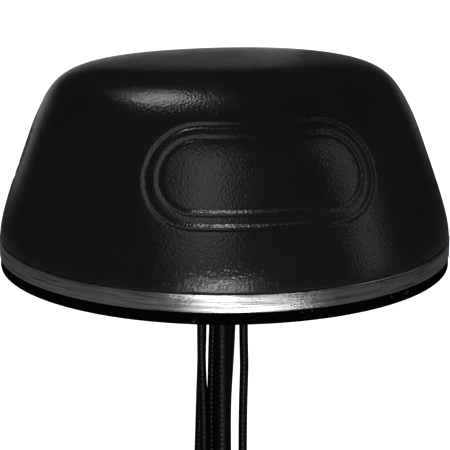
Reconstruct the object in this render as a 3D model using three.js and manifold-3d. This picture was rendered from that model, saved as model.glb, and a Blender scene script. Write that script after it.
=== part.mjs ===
// Surface-mount GNSS and mobile-data dome: a moulded radome on a turned metal base plate, sealed
// by a foam ring to the panel below, clamped by a hollow threaded stud and its nut, with six
// coaxial leads that hang from the stud and end in screw-on connectors.
// Millimetres, +Z up. The origin is the centre of the foam ring's underside, which is the face
// that lies on the panel.
import * as THREE from "three";
import { mergeVertices } from "three/addons/utils/BufferGeometryUtils.js";
import Module from "manifold-3d";

const wasm = await Module();
wasm.setup();

// Clearances
const SEAT_GAP = 0.05; // between two faces that sit on each other
const FIT_GAP = 0.3; // around a shaft, screw or cord in its hole
const OVERSHOOT = 1; // how far a cutting tool runs past the face it opens
const TURN = 2 * Math.PI;

// Facets round a full circle
const LARGE_FACETS = 40;
const SMALL_FACETS = 12;
const FINE_FACETS = 8;

// Foam ring under the base
const BASE_RADIUS = 68.5;
const GASKET_THICKNESS = 3.3;
const GASKET_INSET = 0.2;
const GASKET_BORE_MARGIN = 3.5;

// Turned base plate, whose rim is the bright band
const RIM_HEIGHT = 5.2;
const RIM_WIDTH = 7;
const RIM_CHAMFER = 0.2;
const FLOOR_THICKNESS = 3;
const PLATE_BOSS_RADIUS = 5.5;
const POST_RADIUS = 3.5;
const POST_HEIGHT = 6; // above the plate's floor

// Flat seal between rim and radome
const SEAL_THICKNESS = 0.45;
const SEAL_INSET = 0.5;
const SEAL_WIDTH = 3.4;

// Radome
const RADOME_HEIGHT = 52.4;
const RADOME_INSET = 0.2;
const WALL = 2.8;
const FOOT_RISE = 6.6; // how far the wall stays near vertical above its foot
const SHOULDER_SETBACK = 11.7; // from the foot's radius
const SHOULDER_DROP = 17.4; // below the top
const SHOULDER_LEAD_IN = 2;
const SHOULDER_DRAFT = 30; // degrees from vertical
const CROWN_SETBACK = 27.5; // from the foot's radius
const OVAL_SHARE = 0.134; // how far the crown departs from a circle
const OVAL_POWER = 6; // how late up the wall the circle turns oval
const OVAL_TURN = 18; // degrees from +X to the crown's long axis
const OUTER_STEPS = 6;
const INNER_STEPS = 5;

// Screws that hold the radome down, four round the plate
const CORNERS = 4;
const BOSS_SETBACK = 13; // from the base radius to the screw circle
const BOSS_RADIUS = 4;
const RADOME_SCREW = { shaft: 1.5, length: 14, head: 2.9, headHeight: 1.9 };
const COUNTERBORE_DEPTH = 2.2;

// Hollow stud, its screws, washer and nut
const STUD_RADIUS = 12.5;
const STUD_BORE_RADIUS = 9.8;
const STUD_REACH = 16; // below the panel face
const STUD_CHAMFER = 0.8;
const FLANGE_MARGIN = 6.5; // flange beyond the stud
const FLANGE_THICKNESS = 2.5;
const STUD_SCREWS = 3;
const STUD_SCREW = { shaft: 1.25, length: 4.6, head: 2.2, headHeight: 1.6 };
const PANEL_GAP = 5; // panel face to washer, with the nut run down
const WASHER_THICKNESS = 1.6;
const WASHER_MARGIN = 8; // washer beyond the stud
const NUT_HEIGHT = 6;
const NUT_FLATS = 32;

// Rubber grommet in the stud's lower end
const GROMMET_DEPTH = 7;
const GROMMET_LIP_THICKNESS = 1.2;
const GROMMET_LIP_MARGIN = 0.8; // lip inside the stud's outside radius

// Circuit board on the plate's four posts
const BOARD_MARGIN = 1.5; // to the radome's bosses
const BOARD_THICKNESS = 1.6;
const POST_SETBACK = 6; // from the board's edge to the post circle
const BOARD_SCREW = { shaft: 1.5, length: 5, head: 2.8, headHeight: 1.8 };

// Stacked ceramic patches, their feed pin and the amplifier's screening can
const LOWER_PATCH = { side: 40, height: 6 };
const UPPER_PATCH = { side: 28, height: 5 };
const FEED_PIN_RADIUS = 0.5;
const FEED_PIN_OFFSET = 4;
const CAN = { length: 16, width: 12, height: 3.5, wall: 0.6, x: -29, y: -20 };

// Upright antenna elements: width at the foot and top, setback from the board's edge and
// direction in degrees from +X; each rises to its own head room under the crown
const ELEMENT_THICKNESS = 1;
const MOBILE = { foot: 44, top: 34, headRoom: 9, setback: 15 };
const WIFI = { foot: 18, top: 12, headRoom: 24, setback: 13 };
const MOBILE_DIRECTIONS = [90, 270];
const WIFI_DIRECTIONS = [0, 180, 325];

// Leads: each starts under the board, drops straight to the grommet's lower face and hangs to
// its connector. Its places across are those at its top, at the grommet's face and at each of
// the hanging levels, for a thick and a thin lead as wide side by side as the bundle pitch;
// thicker leads spread them, and the stud's bore with them.
const THICK_LEAD = 5;
const THIN_LEAD = 2.8;
const BUNDLE_PITCH = 7.8;
const LEAD_STEPS = 13;
const LEAD_TOP_GAP = 0.4; // below the board
const LEAD_EXIT_RUN = 0.25; // straight above the grommet's lower face
const HANGING_LEVELS = [-25, -36, -47, -66, -110, -160, -205, -235];
const LEADS = [
  {
    name: "mobile_1",
    diameter: THICK_LEAD,
    end: -262,
    across: [
      [-0.8, -2.6], [-0.8, -2.6], [-0.8, -2.7], [-0.8, -2.8], [-0.8, -3.0],
      [-0.7, -3.5], [0.2, -6.1], [1.3, -9.4], [2.1, -12.1], [2.3, -12.8],
    ],
  },
  {
    name: "mobile_2",
    diameter: THICK_LEAD,
    end: -258,
    across: [
      [1.2, 3.6], [1.2, 3.6], [0.95, 3.6], [0.4, 3.6], [-0.2, 3.6],
      [-0.3, 3.7], [1.8, 4.7], [5.6, 6.3], [9.0, 8.0], [10.0, 8.4],
    ],
  },
  {
    name: "wifi_1",
    diameter: THIN_LEAD,
    end: -265,
    across: [
      [-7.2, -1.4], [-7.2, -1.4], [-7.2, -1.5], [-7.1, -1.6], [-6.6, -1.8],
      [-6.5, -2.4], [-7.7, -4.2], [-9.3, -5.9], [-10.4, -7.2], [-10.7, -7.5],
    ],
  },
  {
    name: "wifi_2",
    diameter: THIN_LEAD,
    end: -260,
    across: [
      [-6.9, 2.6], [-6.9, 2.6], [-7.0, 2.6], [-7.3, 2.6], [-7.7, 2.7],
      [-8.3, 3.0], [-9.9, 3.8], [-11.3, 4.3], [-12.0, 4.4], [-12.2, 4.4],
    ],
  },
  {
    name: "wifi_3",
    diameter: THIN_LEAD,
    end: -256,
    across: [
      [5.9, -0.3], [5.9, -0.3], [5.95, -0.3], [6.15, -0.4], [5.9, -0.5],
      [5.8, -0.9], [8.0, -2.3], [10.6, -3.6], [11.9, -4.3], [12.2, -4.4],
    ],
  },
  {
    name: "gnss",
    diameter: THIN_LEAD,
    end: -263,
    across: [
      [-3.3, 1.6], [-3.3, 1.6], [-3.6, 1.6], [-3.9, 1.7], [-4.1, 1.9],
      [-4.1, 2.6], [-3.8, 5.9], [-3.0, 9.8], [-2.4, 12.4], [-2.3, 12.8],
    ],
  },
];

// Connector at each lead's end: sleeve, crimped body with its contact pin, coupling nut
const SLEEVE_LENGTH = 14;
const SLEEVE_WALL = 0.7;
const FERRULE_LENGTH = 7;
const FERRULE_WALL = 0.9; // beyond the lead
const SHOULDER_RADIUS = 3.4;
const SHOULDER_LENGTH = 1.6;
const NOSE_RADIUS = 2.3;
const NOSE_LENGTH = 4;
const CONTACT_RADIUS = 0.45;
const CONTACT_LENGTH = 2.2;
const COUPLING_FLATS = 8;
const COUPLING_LENGTH = 7.6;
const COUPLING_LIP = 1; // thickness of the lip behind the thread
const COUPLING_BORE_RADIUS = 3.2;

// Heights that follow from the stack
const plateBottom = GASKET_THICKNESS + SEAT_GAP;
const floorTop = plateBottom + FLOOR_THICKNESS;
const rimTop = plateBottom + RIM_HEIGHT;
const sealBottom = rimTop + SEAT_GAP;
const footLevel = sealBottom + SEAL_THICKNESS + SEAT_GAP;
const crownTop = footLevel + RADOME_HEIGHT;
const flangeBottom = floorTop + SEAT_GAP;
const flangeTop = flangeBottom + FLANGE_THICKNESS;
const postTop = floorTop + POST_HEIGHT;
const boardBottom = postTop + SEAT_GAP;
const boardTop = boardBottom + BOARD_THICKNESS;
const washerTop = -PANEL_GAP;
const washerBottom = washerTop - WASHER_THICKNESS;
const nutTop = washerBottom - SEAT_GAP;
const nutBottom = nutTop - NUT_HEIGHT;
const grommetLipTop = -STUD_REACH - SEAT_GAP;
const grommetFace = grommetLipTop - GROMMET_LIP_THICKNESS;
const levels = [boardBottom - LEAD_TOP_GAP, grommetFace + LEAD_EXIT_RUN, ...HANGING_LEVELS];

// Radii that follow from others
const footRadius = BASE_RADIUS - RADOME_INSET;
const screwCircle = BASE_RADIUS - BOSS_SETBACK;
const boardRadius = screwCircle - BOSS_RADIUS - BOARD_MARGIN;
const postCircle = boardRadius - POST_SETBACK;
const flangeRadius = STUD_RADIUS + FLANGE_MARGIN;
const studScrewCircle = (STUD_RADIUS + flangeRadius) / 2;
const HALF_CORNER = Math.PI / CORNERS;
const bundleSpread = (THICK_LEAD + THIN_LEAD) / BUNDLE_PITCH;
const boreRadius = STUD_BORE_RADIUS * bundleSpread;

function surface(colour, roughness, metalness) {
  return new THREE.MeshStandardMaterial({ color: colour, roughness, metalness });
}

const finishes = {
  radome: () => surface(0x141415, 0.5, 0),
  base: () => surface(0xb4b6b8, 0.32, 1),
  foam: () => surface(0x0c0c0c, 0.9, 0),
  rubber: () => surface(0x101010, 0.8, 0),
  plated: () => surface(0xb9b29c, 0.3, 1),
  steel: () => surface(0x9a9ca0, 0.35, 1),
  board: () => surface(0x1d5a37, 0.5, 0),
  ceramic: () => surface(0xd9c9a6, 0.6, 0),
  tinned: () => surface(0xb9bcc0, 0.4, 1),
  jacket: () => surface(0x0d0d0e, 0.45, 0),
  sleeve: () => surface(0x131313, 0.6, 0),
  gold: () => surface(0xc9a24a, 0.28, 1),
  brass: () => surface(0xcfcac0, 0.25, 1),
};

// A closed geometry as a manifold solid, for cutting and joining.
function solid(geometry) {
  const bare = geometry.clone();
  bare.deleteAttribute("normal");
  bare.deleteAttribute("uv");
  const merged = mergeVertices(bare, 1e-4);
  return new wasm.Manifold(
    new wasm.Mesh({
      numProp: 3,
      vertProperties: merged.attributes.position.array,
      triVerts: new Uint32Array(merged.index.array),
    }),
  );
}

function geometryOf(made) {
  const mesh = made.getMesh();
  const geometry = new THREE.BufferGeometry();
  geometry.setAttribute("position", new THREE.BufferAttribute(mesh.vertProperties, 3));
  geometry.setIndex(new THREE.BufferAttribute(mesh.triVerts, 1));
  geometry.computeVertexNormals();
  return geometry;
}

function joined(parts) {
  return parts.reduce((sum, part) => sum.add(part));
}

function cut(body, tools) {
  return tools.reduce((left, tool) => left.subtract(tool), body);
}

// A profile of [radius, height] pairs, turned about the Z axis.
function lathe(profile, facets) {
  const points = profile.map(([radius, height]) => new THREE.Vector2(radius, height));
  return new THREE.LatheGeometry(points, facets).rotateX(Math.PI / 2);
}

function rod(radius, bottom, top, facets) {
  return lathe([[0, bottom], [radius, bottom], [radius, top], [0, top]], facets);
}

function ring(inner, outer, bottom, top, facets) {
  const section = [[inner, bottom], [outer, bottom], [outer, top], [inner, top]];
  return lathe([...section, section[0]], facets);
}

function box(length, width, bottom, top) {
  return new THREE.BoxGeometry(length, width, top - bottom).translate(0, 0, (bottom + top) / 2);
}

// Six-sided prism of the given width across its flats.
function hexagon(flats, bottom, top) {
  const corner = flats / 2 / Math.cos(Math.PI / 6);
  return lathe([[0, bottom], [corner, bottom], [corner, top], [0, top]], 6);
}

// Copies of one geometry on a circle, the first at the given angle.
function around(count, radius, start, make) {
  return Array.from({ length: count }, (_, i) => {
    const angle = start + (i * TURN) / count;
    return make().translate(radius * Math.cos(angle), radius * Math.sin(angle), 0);
  });
}

// A pan-head screw whose head sits above the seat level and whose shaft runs down from it.
function screw(size) {
  return lathe(
    [
      [0, -size.length],
      [size.shaft, -size.length],
      [size.shaft, 0],
      [size.head, 0],
      [size.head, size.headHeight * 0.6],
      [size.head * 0.75, size.headHeight],
      [0, size.headHeight],
    ],
    FINE_FACETS,
  );
}

// Half-section of a dome surface that lies inside the radome's outer skin by the given depth,
// from its foot to its apex: the wall and then the shoulder and crown, as two cubic curves.
function domeProfile(depth, steps) {
  const draft = THREE.MathUtils.degToRad(SHOULDER_DRAFT);
  const along = new THREE.Vector2(-Math.sin(draft), Math.cos(draft));
  const foot = new THREE.Vector2(footRadius, footLevel);
  const shoulder = new THREE.Vector2(footRadius - SHOULDER_SETBACK, crownTop - SHOULDER_DROP);
  const corner = shoulder.clone().addScaledVector(along, SHOULDER_DROP / Math.cos(draft));
  const wall = new THREE.CubicBezierCurve(
    foot,
    new THREE.Vector2(footRadius, footLevel + FOOT_RISE),
    shoulder.clone().addScaledVector(along, -SHOULDER_LEAD_IN),
    shoulder,
  );
  const crown = new THREE.CubicBezierCurve(
    shoulder,
    corner,
    new THREE.Vector2(footRadius - CROWN_SETBACK, crownTop),
    new THREE.Vector2(0, crownTop),
  );
  const inset = (curve, t) => {
    const point = curve.getPointAt(t);
    const tangent = curve.getTangentAt(t);
    return [point.x - depth * tangent.y, point.y + depth * tangent.x];
  };
  const profile = [];
  for (let i = 0; i < steps; i += 1) {
    profile.push(inset(wall, i / steps));
  }
  const crownSteps = 2 * steps;
  for (let i = 0; i < crownSteps; i += 1) {
    profile.push(inset(crown, i / crownSteps));
  }
  profile.push([0, crownTop - depth]);
  return profile;
}

// Turns a round dome's upper part gradually oval.
function ovalised(geometry) {
  const place = geometry.attributes.position;
  const long = THREE.MathUtils.degToRad(OVAL_TURN);
  for (let i = 0; i < place.count; i += 1) {
    const x = place.getX(i);
    const y = place.getY(i);
    const rise = Math.max(0, (place.getZ(i) - footLevel) / RADOME_HEIGHT);
    const spread = OVAL_SHARE * rise ** OVAL_POWER * Math.cos(2 * (Math.atan2(y, x) - long));
    place.setXY(i, x * (1 + spread), y * (1 + spread));
  }
  return geometry;
}

function radome() {
  const outer = domeProfile(0, OUTER_STEPS);
  const inner = domeProfile(WALL, INNER_STEPS).reverse();
  const shell = solid(ovalised(lathe([...outer, ...inner, outer[0]], LARGE_FACETS)));
  const middle = [[0, footLevel], ...domeProfile(WALL / 2, INNER_STEPS)];
  const core = solid(ovalised(lathe(middle, LARGE_FACETS)));
  const pillar = () => rod(BOSS_RADIUS, footLevel, crownTop, SMALL_FACETS);
  const pilotTop = plateBottom + COUNTERBORE_DEPTH + RADOME_SCREW.length + OVERSHOOT;
  const pilot = () =>
    rod(RADOME_SCREW.shaft + FIT_GAP, footLevel - OVERSHOOT, pilotTop, FINE_FACETS);
  const bosses = around(CORNERS, screwCircle, HALF_CORNER, pillar).map(solid);
  const pilots = around(CORNERS, screwCircle, HALF_CORNER, pilot).map(solid);
  return geometryOf(cut(joined([shell, ...bosses.map((b) => b.intersect(core))]), pilots));
}

function basePlate() {
  const hole = STUD_RADIUS + FIT_GAP;
  const section = [
    [hole, plateBottom],
    [BASE_RADIUS - RIM_CHAMFER, plateBottom],
    [BASE_RADIUS, plateBottom + RIM_CHAMFER],
    [BASE_RADIUS, rimTop - RIM_CHAMFER],
    [BASE_RADIUS - RIM_CHAMFER, rimTop],
    [BASE_RADIUS - RIM_WIDTH, rimTop],
    [BASE_RADIUS - RIM_WIDTH, floorTop],
    [hole, floorTop],
  ];
  const plate = solid(lathe([...section, section[0]], LARGE_FACETS));
  const inFloor = floorTop - FLOOR_THICKNESS / 2;
  const boss = () => rod(PLATE_BOSS_RADIUS, inFloor, rimTop, SMALL_FACETS);
  const post = () => rod(POST_RADIUS, inFloor, postTop, SMALL_FACETS);
  const below = plateBottom - OVERSHOOT;
  const through = () =>
    rod(RADOME_SCREW.shaft + FIT_GAP, below, rimTop + OVERSHOOT, FINE_FACETS);
  const counterbore = () =>
    rod(RADOME_SCREW.head + FIT_GAP, below, plateBottom + COUNTERBORE_DEPTH, SMALL_FACETS);
  const tapped = () =>
    rod(
      BOARD_SCREW.shaft + FIT_GAP,
      boardTop - BOARD_SCREW.length - FIT_GAP,
      postTop + OVERSHOOT,
      FINE_FACETS,
    );
  const studTapped = () =>
    rod(STUD_SCREW.shaft + FIT_GAP, below, floorTop + OVERSHOOT, FINE_FACETS);
  const added = [
    ...around(CORNERS, screwCircle, HALF_CORNER, boss),
    ...around(CORNERS, postCircle, 0, post),
  ];
  const holes = [
    ...around(CORNERS, screwCircle, HALF_CORNER, through),
    ...around(CORNERS, screwCircle, HALF_CORNER, counterbore),
    ...around(CORNERS, postCircle, 0, tapped),
    ...around(STUD_SCREWS, studScrewCircle, HALF_CORNER, studTapped),
  ];
  return geometryOf(cut(joined([plate, ...added.map(solid)]), holes.map(solid)));
}

function mountingStud() {
  const section = [
    [boreRadius, -STUD_REACH],
    [STUD_RADIUS - STUD_CHAMFER, -STUD_REACH],
    [STUD_RADIUS, STUD_CHAMFER - STUD_REACH],
    [STUD_RADIUS, flangeBottom],
    [flangeRadius, flangeBottom],
    [flangeRadius, flangeTop],
    [boreRadius, flangeTop],
  ];
  const stud = solid(lathe([...section, section[0]], LARGE_FACETS));
  const hole = () =>
    rod(
      STUD_SCREW.shaft + FIT_GAP,
      flangeBottom - OVERSHOOT,
      flangeTop + OVERSHOOT,
      FINE_FACETS,
    );
  return geometryOf(cut(stud, around(STUD_SCREWS, studScrewCircle, HALF_CORNER, hole).map(solid)));
}

function mountingNut() {
  const bore = rod(STUD_RADIUS + FIT_GAP, nutBottom - OVERSHOOT, nutTop + OVERSHOOT, LARGE_FACETS);
  return geometryOf(solid(hexagon(NUT_FLATS, nutBottom, nutTop)).subtract(solid(bore)));
}

function cableGrommet() {
  const plugRadius = boreRadius - FIT_GAP;
  const plug = solid(
    lathe(
      [
        [0, grommetFace],
        [STUD_RADIUS - GROMMET_LIP_MARGIN, grommetFace],
        [STUD_RADIUS - GROMMET_LIP_MARGIN, grommetLipTop],
        [plugRadius, grommetLipTop],
        [plugRadius, GROMMET_DEPTH - STUD_REACH],
        [0, GROMMET_DEPTH - STUD_REACH],
      ],
      LARGE_FACETS,
    ),
  );
  const holes = LEADS.map((lead) => {
    const [x, y] = lead.across[0];
    const radius = lead.diameter / 2 + FIT_GAP;
    const top = GROMMET_DEPTH - STUD_REACH + OVERSHOOT;
    const hole = rod(radius, grommetFace - OVERSHOOT, top, SMALL_FACETS);
    return solid(hole.translate(x * bundleSpread, y * bundleSpread, 0));
  });
  return geometryOf(cut(plug, holes));
}

function circuitBoard() {
  const board = solid(rod(boardRadius, boardBottom, boardTop, LARGE_FACETS));
  const hole = () =>
    rod(
      BOARD_SCREW.shaft + FIT_GAP,
      boardBottom - OVERSHOOT,
      boardTop + OVERSHOOT,
      FINE_FACETS,
    );
  return geometryOf(cut(board, around(CORNERS, postCircle, 0, hole).map(solid)));
}

// A square ceramic patch with a hole for the feed pin.
function patch(size, bottom) {
  const top = bottom + size.height;
  const hole = rod(FEED_PIN_RADIUS + FIT_GAP, bottom - OVERSHOOT, top + OVERSHOOT, FINE_FACETS);
  hole.translate(FEED_PIN_OFFSET, 0, 0);
  return geometryOf(solid(box(size.side, size.side, bottom, top)).subtract(solid(hole)));
}

function amplifierCan() {
  const bottom = boardTop + SEAT_GAP;
  const top = bottom + CAN.height;
  const outside = solid(box(CAN.length, CAN.width, bottom, top));
  const inside = box(
    CAN.length - 2 * CAN.wall,
    CAN.width - 2 * CAN.wall,
    bottom - OVERSHOOT,
    top - CAN.wall,
  );
  return geometryOf(outside.subtract(solid(inside))).translate(CAN.x, CAN.y, 0);
}

// An upright tapering plate, standing on the board and square to its own direction.
function uprightElement(size, direction) {
  const bottom = boardTop + SEAT_GAP;
  const top = crownTop - WALL - size.headRoom;
  const outline = new THREE.Shape([
    new THREE.Vector2(-size.foot / 2, 0),
    new THREE.Vector2(size.foot / 2, 0),
    new THREE.Vector2(size.top / 2, top - bottom),
    new THREE.Vector2(-size.top / 2, top - bottom),
  ]);
  const plate = new THREE.ExtrudeGeometry(outline, {
    depth: ELEMENT_THICKNESS,
    bevelEnabled: false,
  });
  return plate
    .rotateX(Math.PI / 2)
    .translate(0, size.setback - boardRadius, bottom)
    .rotateZ(THREE.MathUtils.degToRad(direction + 90));
}

// The route of a lead through its levels, ending straight down.
function route(lead) {
  const points = lead.across.map(
    ([x, y], i) => new THREE.Vector3(x * bundleSpread, y * bundleSpread, levels[i]),
  );
  const last = points[points.length - 1];
  points.push(new THREE.Vector3(last.x, last.y, lead.end));
  return new THREE.CatmullRomCurve3(points);
}

function leadTube(lead) {
  const sides = lead.diameter < 4 ? 8 : 10;
  const section = new THREE.Shape(
    Array.from({ length: sides }, (_, i) => {
      const angle = (i * TURN) / sides;
      const radius = lead.diameter / 2;
      return new THREE.Vector2(radius * Math.cos(angle), radius * Math.sin(angle));
    }),
  );
  return new THREE.ExtrudeGeometry(section, {
    steps: LEAD_STEPS,
    bevelEnabled: false,
    extrudePath: route(lead),
  });
}

// The pieces of one connector, below the level 0 of the lead's lower end.
function leadSleeve(lead) {
  const inner = lead.diameter / 2 + FIT_GAP;
  const section = [
    [inner, 0],
    [inner + SLEEVE_WALL + FERRULE_WALL, 0],
    [inner + SLEEVE_WALL + FERRULE_WALL, SLEEVE_LENGTH / 3],
    [inner + SLEEVE_WALL, SLEEVE_LENGTH],
    [inner, SLEEVE_LENGTH],
  ];
  return lathe([...section, section[0]], SMALL_FACETS);
}

function connectorBody(lead) {
  const ferrule = lead.diameter / 2 + FERRULE_WALL;
  const top = -FIT_GAP;
  const shoulderTop = top - FERRULE_LENGTH;
  const shoulderBottom = shoulderTop - SHOULDER_LENGTH;
  const noseBottom = shoulderBottom - NOSE_LENGTH;
  return lathe(
    [
      [0, noseBottom - CONTACT_LENGTH],
      [CONTACT_RADIUS, noseBottom - CONTACT_LENGTH],
      [CONTACT_RADIUS, noseBottom],
      [NOSE_RADIUS, noseBottom],
      [NOSE_RADIUS, shoulderBottom],
      [SHOULDER_RADIUS, shoulderBottom],
      [SHOULDER_RADIUS, shoulderTop],
      [ferrule, shoulderTop],
      [ferrule, top],
      [0, top],
    ],
    SMALL_FACETS,
  );
}

function couplingNut() {
  const top = -2 * FIT_GAP - FERRULE_LENGTH - SHOULDER_LENGTH;
  const bottom = top - COUPLING_LENGTH;
  const bore = lathe(
    [
      [0, bottom - OVERSHOOT],
      [COUPLING_BORE_RADIUS, bottom - OVERSHOOT],
      [COUPLING_BORE_RADIUS, top - COUPLING_LIP],
      [NOSE_RADIUS + FIT_GAP, top - COUPLING_LIP],
      [NOSE_RADIUS + FIT_GAP, top + OVERSHOOT],
      [0, top + OVERSHOOT],
    ],
    SMALL_FACETS,
  );
  return geometryOf(solid(hexagon(COUPLING_FLATS, bottom, top)).subtract(solid(bore)));
}

const group = new THREE.Group();

function add(name, geometry, finish, parent = group) {
  const mesh = new THREE.Mesh(geometry, finishes[finish]());
  mesh.name = name;
  parent.add(mesh);
  return mesh;
}

// Numbered copies of one piece on a circle, turned about X when they point up from below.
function addRing(name, count, radius, start, height, upward, make, finish) {
  for (let i = 0; i < count; i += 1) {
    const angle = start + (i * TURN) / count;
    const piece = add(`${name}_${i + 1}`, make(), finish);
    piece.position.set(radius * Math.cos(angle), radius * Math.sin(angle), height);
    piece.rotation.x = upward ? Math.PI : 0;
  }
}

// Housing
add("radome", radome(), "radome");
add("base_plate", basePlate(), "base");
add(
  "radome_seal",
  ring(
    BASE_RADIUS - SEAL_INSET - SEAL_WIDTH,
    BASE_RADIUS - SEAL_INSET,
    sealBottom,
    sealBottom + SEAL_THICKNESS,
    LARGE_FACETS,
  ),
  "rubber",
);
add(
  "base_gasket",
  ring(
    STUD_RADIUS + GASKET_BORE_MARGIN,
    BASE_RADIUS - GASKET_INSET,
    0,
    GASKET_THICKNESS,
    LARGE_FACETS,
  ),
  "foam",
);
addRing(
  "radome_screw",
  CORNERS,
  screwCircle,
  HALF_CORNER,
  plateBottom + COUNTERBORE_DEPTH - SEAT_GAP,
  true,
  () => screw(RADOME_SCREW),
  "steel",
);

// Mounting
add("mounting_stud", mountingStud(), "plated");
addRing(
  "stud_screw",
  STUD_SCREWS,
  studScrewCircle,
  HALF_CORNER,
  flangeTop + SEAT_GAP,
  false,
  () => screw(STUD_SCREW),
  "steel",
);
add(
  "mounting_washer",
  ring(
    STUD_RADIUS + FIT_GAP,
    STUD_RADIUS + WASHER_MARGIN,
    washerBottom,
    washerTop,
    LARGE_FACETS,
  ),
  "plated",
);
add("mounting_nut", mountingNut(), "plated");
add("cable_grommet", cableGrommet(), "rubber");

// Electronics
add("circuit_board", circuitBoard(), "board");
addRing(
  "board_screw",
  CORNERS,
  postCircle,
  0,
  boardTop + SEAT_GAP,
  false,
  () => screw(BOARD_SCREW),
  "steel",
);
const lowerBottom = boardTop + SEAT_GAP;
const upperBottom = lowerBottom + LOWER_PATCH.height + SEAT_GAP;
const upperTop = upperBottom + UPPER_PATCH.height;
add("lower_patch", patch(LOWER_PATCH, lowerBottom), "ceramic");
add("upper_patch", patch(UPPER_PATCH, upperBottom), "ceramic");
const pin = rod(FEED_PIN_RADIUS, lowerBottom, upperTop + FEED_PIN_RADIUS, FINE_FACETS);
add("feed_pin", pin, "gold").position.x = FEED_PIN_OFFSET;
add("amplifier_can", amplifierCan(), "tinned");
MOBILE_DIRECTIONS.forEach((direction, i) => {
  add(`mobile_element_${i + 1}`, uprightElement(MOBILE, direction), "board");
});
WIFI_DIRECTIONS.forEach((direction, i) => {
  add(`wifi_element_${i + 1}`, uprightElement(WIFI, direction), "board");
});

// Leads and their connectors
for (const lead of LEADS) {
  add(`${lead.name}_lead`, leadTube(lead), "jacket");
  const connector = new THREE.Group();
  const [x, y] = lead.across[lead.across.length - 1];
  connector.position.set(x * bundleSpread, y * bundleSpread, lead.end);
  add(`${lead.name}_sleeve`, leadSleeve(lead), "sleeve", connector);
  add(`${lead.name}_connector`, connectorBody(lead), "gold", connector);
  add(`${lead.name}_coupling_nut`, couplingNut(), "brass", connector);
  group.add(connector);
}

export default group;
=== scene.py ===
import math

import bpy
import numpy as np
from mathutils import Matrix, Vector


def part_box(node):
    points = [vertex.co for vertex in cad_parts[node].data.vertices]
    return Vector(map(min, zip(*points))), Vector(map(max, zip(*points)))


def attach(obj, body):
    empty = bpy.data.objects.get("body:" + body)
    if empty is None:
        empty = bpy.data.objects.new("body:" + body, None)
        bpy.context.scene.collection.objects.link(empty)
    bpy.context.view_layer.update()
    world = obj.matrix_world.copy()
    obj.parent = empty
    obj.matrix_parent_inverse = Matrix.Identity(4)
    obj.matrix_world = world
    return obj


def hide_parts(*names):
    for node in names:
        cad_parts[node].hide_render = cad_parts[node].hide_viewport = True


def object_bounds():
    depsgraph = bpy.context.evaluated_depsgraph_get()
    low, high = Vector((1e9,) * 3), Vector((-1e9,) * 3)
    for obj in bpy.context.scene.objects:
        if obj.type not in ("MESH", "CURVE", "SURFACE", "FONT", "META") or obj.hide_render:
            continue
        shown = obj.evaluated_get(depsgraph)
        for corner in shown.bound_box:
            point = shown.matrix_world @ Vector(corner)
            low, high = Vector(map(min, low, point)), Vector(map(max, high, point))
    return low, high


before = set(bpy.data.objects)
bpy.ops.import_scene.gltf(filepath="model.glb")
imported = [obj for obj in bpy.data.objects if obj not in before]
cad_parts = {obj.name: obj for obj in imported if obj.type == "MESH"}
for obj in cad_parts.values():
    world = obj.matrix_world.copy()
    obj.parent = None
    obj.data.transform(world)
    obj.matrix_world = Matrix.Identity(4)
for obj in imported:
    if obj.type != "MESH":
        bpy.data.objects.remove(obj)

cad_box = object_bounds()
MM = 0.001
TURN = 2 * math.pi
SHARP = math.radians(35)
SAME = 0.001 * MM  # radii this close belong to the same surface


# ---------------------------------------------------------------- camera
CAMERA_DISTANCE = 479 * MM
CAMERA_ELEVATION = math.radians(15.6)
CAMERA_AIM = (0.15 * MM, 0, 10.0 * MM)
CAMERA_LENS = 124.2


def point_at(thing, place, target):
    """Stands a camera or lamp at a place and turns its -Z axis towards the target."""
    thing.location = place
    away = Vector(target) - Vector(place)
    thing.rotation_euler = away.to_track_quat("-Z", "Y").to_euler()


def make_camera():
    """Stands in front of the dome and a little above its base."""
    camera = bpy.data.objects.new("camera", bpy.data.cameras.new("camera"))
    bpy.context.scene.collection.objects.link(camera)
    camera.data.lens = CAMERA_LENS
    camera.data.clip_start = 20 * MM
    camera.data.clip_end = 30
    place = (
        0,
        -CAMERA_DISTANCE * math.cos(CAMERA_ELEVATION),
        CAMERA_DISTANCE * math.sin(CAMERA_ELEVATION),
    )
    point_at(camera, place, CAMERA_AIM)
    bpy.context.scene.camera = camera


make_camera()


# ---------------------------------------------------------------- mesh helpers
def piece_from(name, vertices, faces, sharp=SHARP):
    """An object at the origin whose mesh holds these vertices and faces, smooth but for edges
    sharper than the given angle."""
    mesh = bpy.data.meshes.new(name)
    mesh.from_pydata(vertices.tolist(), [], faces)
    mesh.polygons.foreach_set("use_smooth", np.ones(len(mesh.polygons), bool))
    mesh.set_sharp_from_angle(angle=sharp)
    mesh.update()
    piece = bpy.data.objects.new(name, mesh)
    bpy.context.scene.collection.objects.link(piece)
    return piece


def grid_faces(rows, columns, closed):
    """Quads between neighbouring rows of a grid whose columns go all the way round; when closed,
    the last row also joins the first."""
    first = np.arange(rows if closed else rows - 1)[:, None]
    column = np.arange(columns)[None, :]
    second = (first + 1) % rows
    beside = (column + 1) % columns
    corners = [
        first * columns + column,
        first * columns + beside,
        second * columns + beside,
        second * columns + column,
    ]
    return np.stack(corners, axis=-1).reshape(-1, 4)


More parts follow.
